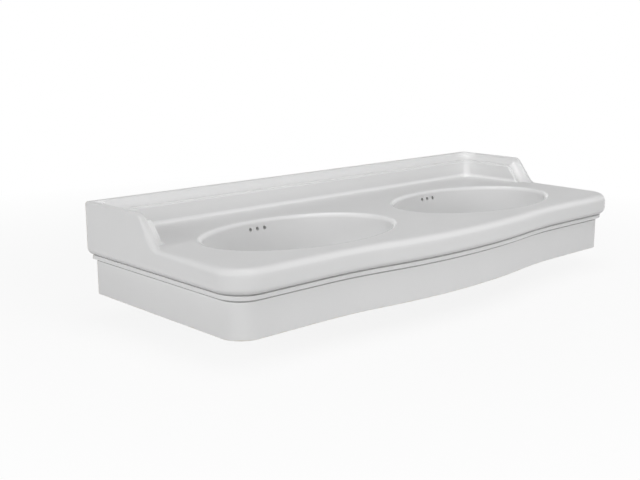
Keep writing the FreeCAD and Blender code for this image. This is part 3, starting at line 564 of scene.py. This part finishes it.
# Painted highlight over the patchy white.
colour = blended(tree, "RGBA", painted_highlight, colour, painted_highlight_white)
# Painted shade in the grooves under the rim.
colour = blended(tree, "RGBA", painted_groove_shade, colour, painted_shade_grey)
colour = blended(tree, "RGBA", thin, colour, thin_white)
clay_colour = blended(tree, "RGBA", place(tree, patchy, vector, Scale=35.0), *clay_shades)
tree.links.new(blended(tree, "RGBA", clay, colour, clay_colour), shader.inputs["Base Color"])
rough = place(tree, patchy, vector, Scale=16.0, Low=0.31, High=0.39)
rough = blended(tree, "FLOAT", thin, rough, place(tree, patchy, vector, Scale=50.0, Low=0.45, High=0.6))
tree.links.new(blended(tree, "FLOAT", clay, rough, 0.92), shader.inputs["Roughness"])
ripple = place(tree, grain, vector, Scale=22.0, Height=0.12 * mm)
sandy = place(tree, grain, vector, Scale=900.0, Height=0.06 * mm)
tree.links.new(blended(tree, "VECTOR", clay, ripple, sandy), shader.inputs["Normal"])
shader.inputs["Specular IOR Level"].default_value = 0.12
# The painted highlight's mask also brings in a clear coat.
tree.links.new(painted_highlight, shader.inputs["Coat Weight"])
shader.inputs["Coat Roughness"].default_value = 0.16
casting = nodes["ceramic_basin"].data
casting.materials.clear()
casting.materials.append(glaze)
print("casting in", glaze.name)

# %% [markdown]
# The metals come next. Chrome is plated on polished brass, so it is nearly a mirror. The nuts are bare
# turned brass, with the fine rings of the lathe and an oxide that darkens them in patches. The spring is
# drawn steel wire. The rings are far finer than any mesh, so they only tilt the normals, and one function
# makes all three metals, which differ in their colours, their gloss and the pitch of the rings.

# %% Metals
def mottled(name, light, dark, colour_scale, gloss, gloss_scale):
    """A finish that is patchy between two colours and between two roughnesses."""
    material, tree, shader = finish(name)
    vector = object_place(tree)
    colour = blended(tree, "RGBA", place(tree, patchy, vector, Scale=colour_scale), dark, light)
    tree.links.new(colour, shader.inputs["Base Color"])
    rough = place(tree, patchy, vector, Scale=gloss_scale, Low=gloss[0], High=gloss[1])
    tree.links.new(rough, shader.inputs["Roughness"])
    return material, tree, shader, vector


def metal(name, light, dark, gloss, pitch, height):
    """A mottled metal with the marks of a lathe."""
    material, tree, shader, vector = mottled(name, light, dark, colour_scale=60.0, gloss=gloss,
                                             gloss_scale=140.0)
    shader.inputs["Metallic"].default_value = 1.0
    rings = place(tree, turning_marks, vector, Pitch=pitch, Height=height)
    tree.links.new(rings, shader.inputs["Normal"])
    return material


chrome = metal("polished chrome", (0.62, 0.63, 0.64), (0.6, 0.61, 0.622), gloss=(0.04, 0.07),
               pitch=2 * mm, height=0.0006 * mm)
brass = metal("turned brass", (0.66, 0.47, 0.21), (0.55, 0.37, 0.15), gloss=(0.2, 0.34),
              pitch=0.35 * mm, height=0.012 * mm)
steel = metal("drawn spring steel", (0.46, 0.46, 0.47), (0.34, 0.34, 0.35), gloss=(0.22, 0.36),
              pitch=0.25 * mm, height=0.01 * mm)
print("metals:", chrome.name, brass.name, steel.name)

# %% [markdown]
# Rubber and plastic parts come out of a mould with a fine matt grain, and their gloss is never quite even.
# The same kind of function makes all four, with a grain in place of the rings.

# %% Rubbers and plastics
def moulded(name, light, dark, gloss, scale, height):
    """A mottled material with a fine grain."""
    material, tree, shader, vector = mottled(name, light, dark, colour_scale=220.0, gloss=gloss,
                                             gloss_scale=400.0)
    tree.links.new(place(tree, grain, vector, Scale=scale, Height=height), shader.inputs["Normal"])
    return material


black_rubber = moulded("black rubber", (0.032, 0.032, 0.034), (0.016, 0.016, 0.017), gloss=(0.5, 0.72),
                       scale=1600.0, height=0.03 * mm)
grey_rubber = moulded("grey rubber", (0.3, 0.3, 0.31), (0.22, 0.22, 0.23), gloss=(0.45, 0.65),
                      scale=1600.0, height=0.02 * mm)
nylon = moulded("white nylon", (0.8, 0.79, 0.755), (0.73, 0.72, 0.68), gloss=(0.3, 0.46),
                scale=700.0, height=0.01 * mm)
black_plastic = moulded("black plastic", (0.03, 0.03, 0.031), (0.018, 0.018, 0.019), gloss=(0.28, 0.42),
                        scale=900.0, height=0.01 * mm)
print("moulded:", black_rubber.name, grey_rubber.name, nylon.name, black_plastic.name)

# %% [markdown]
# A waste hangs under each bowl: a flanged brass tube, clamped to the china by a nut, a washer and two
# seals, with the cartridge of the plug on a cross inside it. All of these are turned parts, so each starts
# as half its section, spun round the axis of the bowl, and its sharp rings are bevelled, because a lathe
# tool never leaves a perfect edge and an edge without a bevel catches no light. The heights come from the
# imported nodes, so every piece sits where the model says. Each is made once on the axis, and a copy moves to
# each bowl.

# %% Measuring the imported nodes
def heights(node):
    """Bottom and top of the left-hand node."""
    low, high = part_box("left_" + node)
    return low.z, high.z


def half_width(node):
    """Half the width of the left-hand node, from front to back."""
    low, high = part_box("left_" + node)
    return (high.y - low.y) / 2


print("a waste stands from", *(round(height / mm, 1) for height in heights("waste_body")), "mm")

# %% Turning helpers
turning_steps = 96


def turn(points, closed=True):
    """Spin half a section, drawn as (radius, height), round the vertical axis."""
    mesh = bmesh.new()
    corners = [mesh.verts.new((radius, 0, height)) for radius, height in points]
    for start, end in zip(corners, corners[1:] + corners[:1] if closed else corners[1:]):
        mesh.edges.new((start, end))
    bmesh.ops.spin(mesh, geom=mesh.verts[:] + mesh.edges[:], cent=(0, 0, 0), axis=(0, 0, 1), dvec=(0, 0, 0),
                   angle=2 * math.pi, steps=turning_steps, use_merge=True)
    bmesh.ops.remove_doubles(mesh, verts=mesh.verts[:], dist=0.001 * mm)
    bmesh.ops.recalc_face_normals(mesh, faces=mesh.faces[:])
    return mesh


def ring(inner, outer, low, high):
    """A plain ring with a square section."""
    return turn([(inner, low), (outer, low), (outer, high), (inner, high)])


def groove(radius, depth, low, high):
    """Points of a section that goes up a cylinder and round a groove with sloping sides."""
    return [(radius, low), (radius - depth, low + depth), (radius - depth, high - depth), (radius, high)]


def bow(start, end, bulge, count=8):
    """Points from start to end along an arc that swells by that much to the left of the line."""
    first, last = Vector(start), Vector(end)
    chord = last - first
    left = Vector((-chord.y, chord.x)).normalized()
    radius = (chord.length ** 2 / 4 + bulge ** 2) / (2 * bulge)
    points = []
    for number in range(count + 1):
        offset = (number / count - 0.5) * chord.length
        swell = math.copysign(math.sqrt(radius ** 2 - offset ** 2), bulge) - (radius - bulge)
        points.append(tuple(first + chord * (number / count) + left * swell))
    return points


def soften(mesh, width, segments=3, sharper_than=math.radians(28)):
    """Round the edges where two faces meet at more than that angle."""
    edges = [e for e in mesh.edges if len(e.link_faces) == 2 and e.calc_face_angle() > sharper_than]
    bmesh.ops.bevel(mesh, geom=edges, offset=width, offset_type="OFFSET", segments=segments, profile=0.5,
                    affect="EDGES", clamp_overlap=True, material=-1)
    return mesh


print("a full turn has", turning_steps, "steps")

# %% Putting pieces in place
def join(mesh, other):
    """Add a second mesh to the first."""
    spare = bpy.data.meshes.new("spare")
    other.to_mesh(spare)
    other.free()
    mesh.from_mesh(spare)
    bpy.data.meshes.remove(spare)


def shown(mesh, name, material):
    """Make an object of a finished mesh, with smooth shading that keeps its flat faces flat."""
    piece = bpy.data.objects.new(name, bpy.data.meshes.new(name))
    mesh.to_mesh(piece.data)
    mesh.free()
    bpy.context.scene.collection.objects.link(piece)
    for polygon in piece.data.polygons:
        polygon.use_smooth = True
    piece.data.materials.append(material)
    piece.modifiers.new("flat faces", "WEIGHTED_NORMAL")
    return piece


def fit(mesh, name, node, material, slot):
    """Put a copy under each bowl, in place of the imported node."""
    for side in ("left", "right"):
        low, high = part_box(side + "_waste_body")
        copy = mesh.copy()
        bmesh.ops.translate(copy, vec=((low.x + high.x) / 2, (low.y + high.y) / 2, 0), verts=copy.verts)
        piece = shown(copy, side + "_" + name, material)
        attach(piece, nodes[side + "_" + node]["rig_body"])
        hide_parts(side + "_" + node)
    print(name, "has", len(mesh.faces), "faces")
    mesh.free()


print("functions for pieces:", [f.__name__ for f in (join, shown, fit)])

# %% Sizes of the waste
waste_low, flange_top = heights("waste_body")
flange_low = heights("flange_seal")[1]
flange_radius = half_width("waste_body")
flange_edge = 1.2 * mm
flange_chamfer = 0.4 * mm
flange_crown = 0.35 * mm
mouth_land = 3 * mm
mouth_radius = 22.0 * mm
mouth_depth = 6.5 * mm
bore_radius = 17.5 * mm
thread_radius = 20.955 * mm
thread_pitch = 2.309 * mm
thread_depth = 1.479 * mm
root_radius = thread_radius - thread_depth
relief_depth = 0.2 * mm
relief_height = 2.0 * mm
thread_below_nut = 3.5 * mm
relief_top = heights("back_nut")[0] - thread_below_nut
relief_low = relief_top - relief_height
slot_half_width = 8.0 * mm
slot_high = -38.3 * mm
slot_low = -48.3 * mm
thread_below_slot = 2.0 * mm
thread_high = slot_low - thread_below_slot
print("flange radius:", round(flange_radius / mm, 1), "mm, tail to", round(waste_low / mm, 1), "mm")

# %% [markdown]
# The waste is one brass tube with a wide flange, two slots that let the overflow water in, and a cross
# inside that carries the cartridge. A thread is a ridge that climbs round the tube, so it is a small
# section spun with a rise. At each end a cut thread runs out to nothing, and a groove lets the tool leave.

# %% Tube with two slots
waste = turn([
    (bore_radius, waste_low),
    (root_radius, waste_low),
    (root_radius, relief_low),
    (root_radius - relief_depth, relief_low),
    (root_radius - relief_depth, relief_top),
    (root_radius, relief_top),
    (root_radius, thread_high),
    (thread_radius, thread_high + thread_depth),
    (thread_radius, slot_low),
    (thread_radius, slot_high),
    (thread_radius, flange_low),
    (flange_radius, flange_low),
    (flange_radius, flange_low + flange_edge),
    *bow((flange_radius - flange_chamfer, flange_low + flange_edge + flange_chamfer),
         (mouth_radius + mouth_land, flange_top), flange_crown),
    (mouth_radius, flange_top),
    (bore_radius, flange_top - mouth_depth),
    (bore_radius, slot_high),
    (bore_radius, slot_low),
])
soften(waste, width=0.35 * mm)


def slotted_band():
    """The faces of the tube at the height of its slots."""
    return [f for f in waste.faces if slot_low < f.calc_center_median().z < slot_high]


for edge in (-slot_half_width, slot_half_width):
    band = slotted_band()
    geometry = set(band) | {e for f in band for e in f.edges} | {v for f in band for v in f.verts}
    bmesh.ops.bisect_plane(waste, geom=list(geometry), plane_co=(edge, 0, 0), plane_no=(1, 0, 0))
gone = [f for f in slotted_band() if abs(f.calc_center_median().x) < slot_half_width]
bmesh.ops.delete(waste, geom=gone, context="FACES")
for side in (-1, 1):
    border = [e for e in waste.edges if e.is_boundary and side * e.verts[0].co.y > 0]
    bmesh.ops.bridge_loops(waste, edges=border)
print("tube with slots:", len(waste.faces), "faces")

# %% Threads
thread_steps = 64
half_crest, half_foot = 0.1 * thread_pitch, 0.48 * thread_pitch
run_out_turns = 0.35
thinnest = 0.04


def thread(low, high):
    """A helical ridge on the tube, which fades out at both ends as a cut thread does."""
    ridge = bmesh.new()
    base = root_radius - relief_depth
    start = low + half_foot
    turns = (high - half_foot - start) / thread_pitch
    steps = round(turns * thread_steps)
    section = [(base, -half_foot), (root_radius, -half_foot), (thread_radius, -half_crest),
               (thread_radius, half_crest), (root_radius, half_foot), (base, half_foot)]
    corners = [ridge.verts.new((radius, 0, start + height)) for radius, height in section]
    ends = [ridge.edges.new(pair) for pair in zip(corners, corners[1:] + corners[:1])]
    made = bmesh.ops.spin(ridge, geom=corners + ends, cent=(0, 0, 0), axis=(0, 0, 1),
                          angle=2 * math.pi * turns, dvec=(0, 0, turns * thread_pitch / steps), steps=steps)
    last = [part for part in made["geom_last"] if isinstance(part, bmesh.types.BMEdge)]
    for end in (ends, last):
        bmesh.ops.contextual_create(ridge, geom=end)
    for vert in ridge.verts:
        part_turn = math.atan2(vert.co.y, vert.co.x) / (2 * math.pi) % 1
        travelled = round((vert.co.z - start) / thread_pitch - part_turn) + part_turn
        share = max(thinnest, min(1, travelled / run_out_turns, (turns - travelled) / run_out_turns))
        radius = vert.co.xy.length
        vert.co.xy *= (base + (radius - base) * share) / radius
    bmesh.ops.recalc_face_normals(ridge, faces=ridge.faces[:])
    print("thread with", round(turns, 2), "turns")
    return ridge


join(waste, thread(relief_top, thread_high))
join(waste, thread(waste_low, relief_low))

# %% Cross for the cartridge
housing_low, housing_high = heights("cartridge_housing")
housing_radius = half_width("cartridge_housing")
stub_radius = 5.0 * mm
bridge_thickness = 4.0 * mm
bridge_low = heights("cartridge_nut")[1]
bridge_high = bridge_low + bridge_thickness
join(waste, soften(ring(stub_radius, housing_radius, bridge_low, bridge_high), width=0.3 * mm))
arm_start_share = 0.9
arm_bite = 1.0 * mm
arm_width = 3.0 * mm
arm_start = housing_radius * arm_start_share
arm_length = bore_radius + arm_bite - arm_start
for quarter in range(4):
    arm = bmesh.new()
    bmesh.ops.create_cube(arm, size=1)
    bmesh.ops.scale(arm, vec=(arm_length, arm_width, bridge_thickness), verts=arm.verts)
    middle = (arm_start + arm_length / 2, 0, (bridge_low + bridge_high) / 2)
    bmesh.ops.translate(arm, vec=middle, verts=arm.verts)
    soften(arm, width=0.4 * mm)
    quarter_turn = Matrix.Rotation(quarter * math.pi / 2, 3, "Z")
    bmesh.ops.rotate(arm, cent=(0, 0, 0), matrix=quarter_turn, verts=arm.verts)
    join(waste, arm)
fit(waste, "waste", "waste_body", chrome, "chromed_brass")

# %% [markdown]
# The two seals and the washer are plain rings, each half a section, spun. Rubber edges are rounded more
# than the plastic's, because rubber can't hold a sharp edge. The upper seal is flat and grey. The lower
# one is a cone, which the nut presses up against the china.

# %% Seals and washer
snug_gap = 0.1 * mm
snug_radius = thread_radius + snug_gap
seal = ring(snug_radius, half_width("flange_seal"), *heights("flange_seal"))
fit(soften(seal, width=0.6 * mm, segments=4), "flange_gasket", "flange_seal", grey_rubber, "grey_rubber")
cone_low, cone_high = heights("cone_seal")
cone_radius = half_width("cone_seal")
cone_edge = 1.5 * mm
cone_narrowing = 5 * mm
cone = turn([(snug_radius, cone_low), (cone_radius, cone_low), (cone_radius, cone_low + cone_edge),
             (cone_radius - cone_narrowing, cone_high), (snug_radius, cone_high)])
fit(soften(cone, width=0.7 * mm, segments=4), "cone_gasket", "cone_seal", black_rubber, "black_rubber")
washer = ring(snug_radius, half_width("slip_washer"), *heights("slip_washer"))
fit(soften(washer, width=0.3 * mm), "washer", "slip_washer", nylon, "white_plastic")

# %% [markdown]
# A nut starts as a turned ring with chamfered ends. Six flats are then milled on it, and where each flat
# meets the chamfer there is the curved line that every real nut has.

# %% Nuts
chamfer_slope = math.tan(math.radians(30))
face_share = 0.985


def nut(node, bore, chamfer):
    """A turned ring with chamfered ends, milled to six flats."""
    low, high = heights(node)
    flat = half_width(node)
    corner = flat / math.cos(math.radians(30))
    face = flat * face_share
    drop = (corner - face) * chamfer_slope
    mesh = turn([(bore, low + chamfer), (bore + chamfer, low), (face, low), (corner, low + drop),
                 (corner, high - drop), (face, high), (bore + chamfer, high), (bore, high - chamfer)])
    for side in range(6):
        outward = Vector((math.sin(side * math.pi / 3), math.cos(side * math.pi / 3), 0))
        cut = bmesh.ops.bisect_plane(mesh, geom=mesh.verts[:] + mesh.edges[:] + mesh.faces[:],
                                     plane_co=outward * flat, plane_no=outward, clear_outer=True)
        edges = [part for part in cut["geom_cut"] if isinstance(part, bmesh.types.BMEdge)]
        bmesh.ops.contextual_create(mesh, geom=edges)
    bmesh.ops.recalc_face_normals(mesh, faces=mesh.faces[:])
    return soften(mesh, width=0.2 * mm, segments=2, sharper_than=math.radians(40))


fit(nut("back_nut", snug_radius, chamfer=0.8 * mm), "clamp_nut", "back_nut", brass, "brass")
small_nut = nut("cartridge_nut", stub_radius, chamfer=0.3 * mm)
fit(small_nut, "cartridge_hex", "cartridge_nut", brass, "brass")

# %% [markdown]
# The cartridge is a plastic tube, closed by a brass cap with notches round its edge for the assembly tool.
# The notches need no cutting: every second row of points round the edge is drawn in a little.

# %% Cartridge
housing_bore = 7.0 * mm
floor_thickness = 3.0 * mm
floor_high = bridge_high + floor_thickness
grip_depth = 0.5 * mm
grip_low = housing_high - 6 * mm
grip_high = housing_high - 4 * mm
housing = turn([
    (0, housing_low), (stub_radius, housing_low), (stub_radius, bridge_high), (housing_radius, bridge_high),
    *groove(housing_radius, grip_depth, grip_low, grip_high),
    (housing_radius, housing_high), (housing_bore, housing_high), (housing_bore, floor_high), (0, floor_high),
], closed=False)
fit(soften(housing, width=0.25 * mm), "cartridge", "cartridge_housing", black_plastic, "black_plastic")

# %% Cap of the cartridge
spindle_radius = 4.0 * mm
running_gap = 0.08 * mm
notch_depth = 0.3 * mm
edge_share = 0.97
collar = ring(spindle_radius + running_gap, housing_radius, *heights("cartridge_collar"))
soften(collar, width=0.25 * mm)
for vert in collar.verts:
    around = round(math.atan2(vert.co.y, vert.co.x) / (2 * math.pi) * turning_steps)
    if vert.co.xy.length > housing_radius * edge_share and around % 2:
        vert.co.xy *= 1 - notch_depth / housing_radius
fit(collar, "cartridge_cap", "cartridge_collar", brass, "brass")

# %% [markdown]
# The spindle carries the plug. Its shoulder can't pass the cap, and a groove near its top snaps into the
# plug. Its section starts and ends on the axis, so the spin closes both ends.

# %% Spindle
spindle_low, spindle_high = heights("click_spindle")
shoulder_play = 0.3 * mm
shoulder_height = 4.0 * mm
shoulder_high = housing_high - shoulder_play
shoulder_low = shoulder_high - shoulder_height
snap_depth = 0.4 * mm
snap_low = spindle_high - 3 * mm
snap_high = spindle_high - 1.6 * mm
guide_radius = 2.2 * mm
shoulder_radius = housing_bore - running_gap
spindle = turn([
    (0, spindle_low), (guide_radius, spindle_low), (guide_radius, shoulder_low),
    (shoulder_radius, shoulder_low), (shoulder_radius, shoulder_high), (spindle_radius, shoulder_high),
    *groove(spindle_radius, snap_depth, snap_low, snap_high),
    (spindle_radius, spindle_high), (0, spindle_high),
], closed=False)
fit(soften(spindle, width=0.2 * mm), "stem", "click_spindle", brass, "brass")

# %% [markdown]
# The plug is a thin chromed dome with a hub, and a tapered rubber ring under it that closes the waste's
# mouth. Half of an arc from rim to rim gives the dome, and the pole is set on the axis by itself, so that
# no point lies just beside it.

# %% Plug
cap_low, cap_high = heights("plug_cap")
cap_radius = half_width("plug_cap")
cap_seat = heights("plug_seal")[1]
cap_hub_radius = 13.0 * mm
cap_rise = 4.0 * mm
pole_radius = 0.1 * mm
press_gap = 0.05 * mm
socket_depth = 7 * mm
socket_top = cap_low + socket_depth
dome = bow((cap_radius, cap_high - cap_rise), (-cap_radius, cap_high - cap_rise), -cap_rise, 32)
dome = [(radius, height) for radius, height in dome if radius > pole_radius]
cap = turn([(0, cap_high), *reversed(dome), (cap_radius, cap_seat), (cap_hub_radius, cap_seat),
            (cap_hub_radius, cap_low), (spindle_radius + press_gap, cap_low),
            (spindle_radius + press_gap, socket_top), (0, socket_top)], closed=False)
fit(soften(cap, width=0.6 * mm, segments=4), "plug_dome", "plug_cap", chrome, "chromed_brass")

# %% Ring under the plug
plug_seal_low, plug_seal_high = heights("plug_seal")
plug_seal_radius = half_width("plug_seal")
plug_seal_taper = 2.7 * mm
gasket = turn([
    (cap_hub_radius + press_gap, plug_seal_low), (plug_seal_radius - plug_seal_taper, plug_seal_low),
    (plug_seal_radius, plug_seal_high), (cap_hub_radius + press_gap, plug_seal_high)])
fit(soften(gasket, width=0.5 * mm, segments=4), "plug_gasket", "plug_seal", black_rubber, "black_rubber")

# %% [markdown]
# A compression spring has a closed coil at each end, so that it stands square, and open coils between them.
# It is one circle, spun three times with a different rise. When the plug of the real waste goes down, its
# spring is squashed against its foot.

# %% Spring
spring_low, spring_high = heights("click_spring")
wire_radius = 0.6 * mm
spring_radius = half_width("click_spring") - wire_radius
spring_turns = 7
coil_steps = 48
closed_pitch = 2.05 * wire_radius
open_pitch = (spring_high - spring_low - 2 * wire_radius - 2 * closed_pitch) / (spring_turns - 2)
spring = bmesh.new()
wire = bmesh.ops.create_circle(spring, segments=12, radius=wire_radius)["verts"]
bmesh.ops.rotate(spring, cent=(0, 0, 0), matrix=Matrix.Rotation(math.pi / 2, 3, "X"), verts=wire)
bmesh.ops.translate(spring, vec=(spring_radius, 0, spring_low + wire_radius), verts=wire)
tip = spring.verts[:] + spring.edges[:]
ends = [[part for part in tip if isinstance(part, bmesh.types.BMEdge)]]
for turns, pitch in ((1, closed_pitch), (spring_turns - 2, open_pitch), (1, closed_pitch)):
    made = bmesh.ops.spin(spring, geom=tip, cent=(0, 0, 0), axis=(0, 0, 1), angle=2 * math.pi * turns,
                          dvec=(0, 0, pitch / coil_steps), steps=coil_steps * turns)
    tip = made["geom_last"]
ends.append([part for part in tip if isinstance(part, bmesh.types.BMEdge)])
for end in ends:
    bmesh.ops.contextual_create(spring, geom=end)
bmesh.ops.recalc_face_normals(spring, faces=spring.faces[:])
fit(spring, "spring", "click_spring", steel, "spring_steel")

# %% A mesh of its own for each spring, and the travel of its plug
for side in ("left", "right"):
    joint = next(j for j in frame["joints"] if j["name"] == side + "_plug_travel")
    travel = max(abs(limit) for limit in joint["range_m"])
    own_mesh(bpy.data.objects[side + "_spring"])
    print(side, "spring shortens by", round(travel / mm, 1), "mm")

# %% [markdown]
# Four nylon bushes line the holes for the wall studs, so that steel never bears on the china. Each is
# turned upright like the rest, then tipped to lie along its hole. They are joined in one piece, because
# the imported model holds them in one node.

# %% Bushes
bush_low, bush_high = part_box("fixing_bushes")
bush_bore, sleeve_radius = 5.25 * mm, 8.85 * mm
bush_flange_radius, bush_flange_thickness = 15 * mm, 3 * mm
inner_stud = 135 * mm
bushes = bmesh.new()
for x in (bush_low.x + bush_flange_radius, -inner_stud, inner_stud, bush_high.x - bush_flange_radius):
    bush = turn([(bush_bore, bush_low.y), (bush_flange_radius, bush_low.y),
                 (bush_flange_radius, bush_low.y + bush_flange_thickness),
                 (sleeve_radius, bush_low.y + bush_flange_thickness), (sleeve_radius, bush_high.y),
                 (bush_bore, bush_high.y)])
    soften(bush, width=0.4 * mm)
    bmesh.ops.rotate(bush, cent=(0, 0, 0), matrix=Matrix.Rotation(-math.pi / 2, 3, "X"), verts=bush.verts)
    bmesh.ops.translate(bush, vec=(x, 0, 0), verts=bush.verts)
    join(bushes, bush)
piece = shown(bushes, "wall_bushes", nylon)
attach(piece, "basin")
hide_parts("fixing_bushes")
print("wall bushes:", len(piece.data.polygons), "faces")
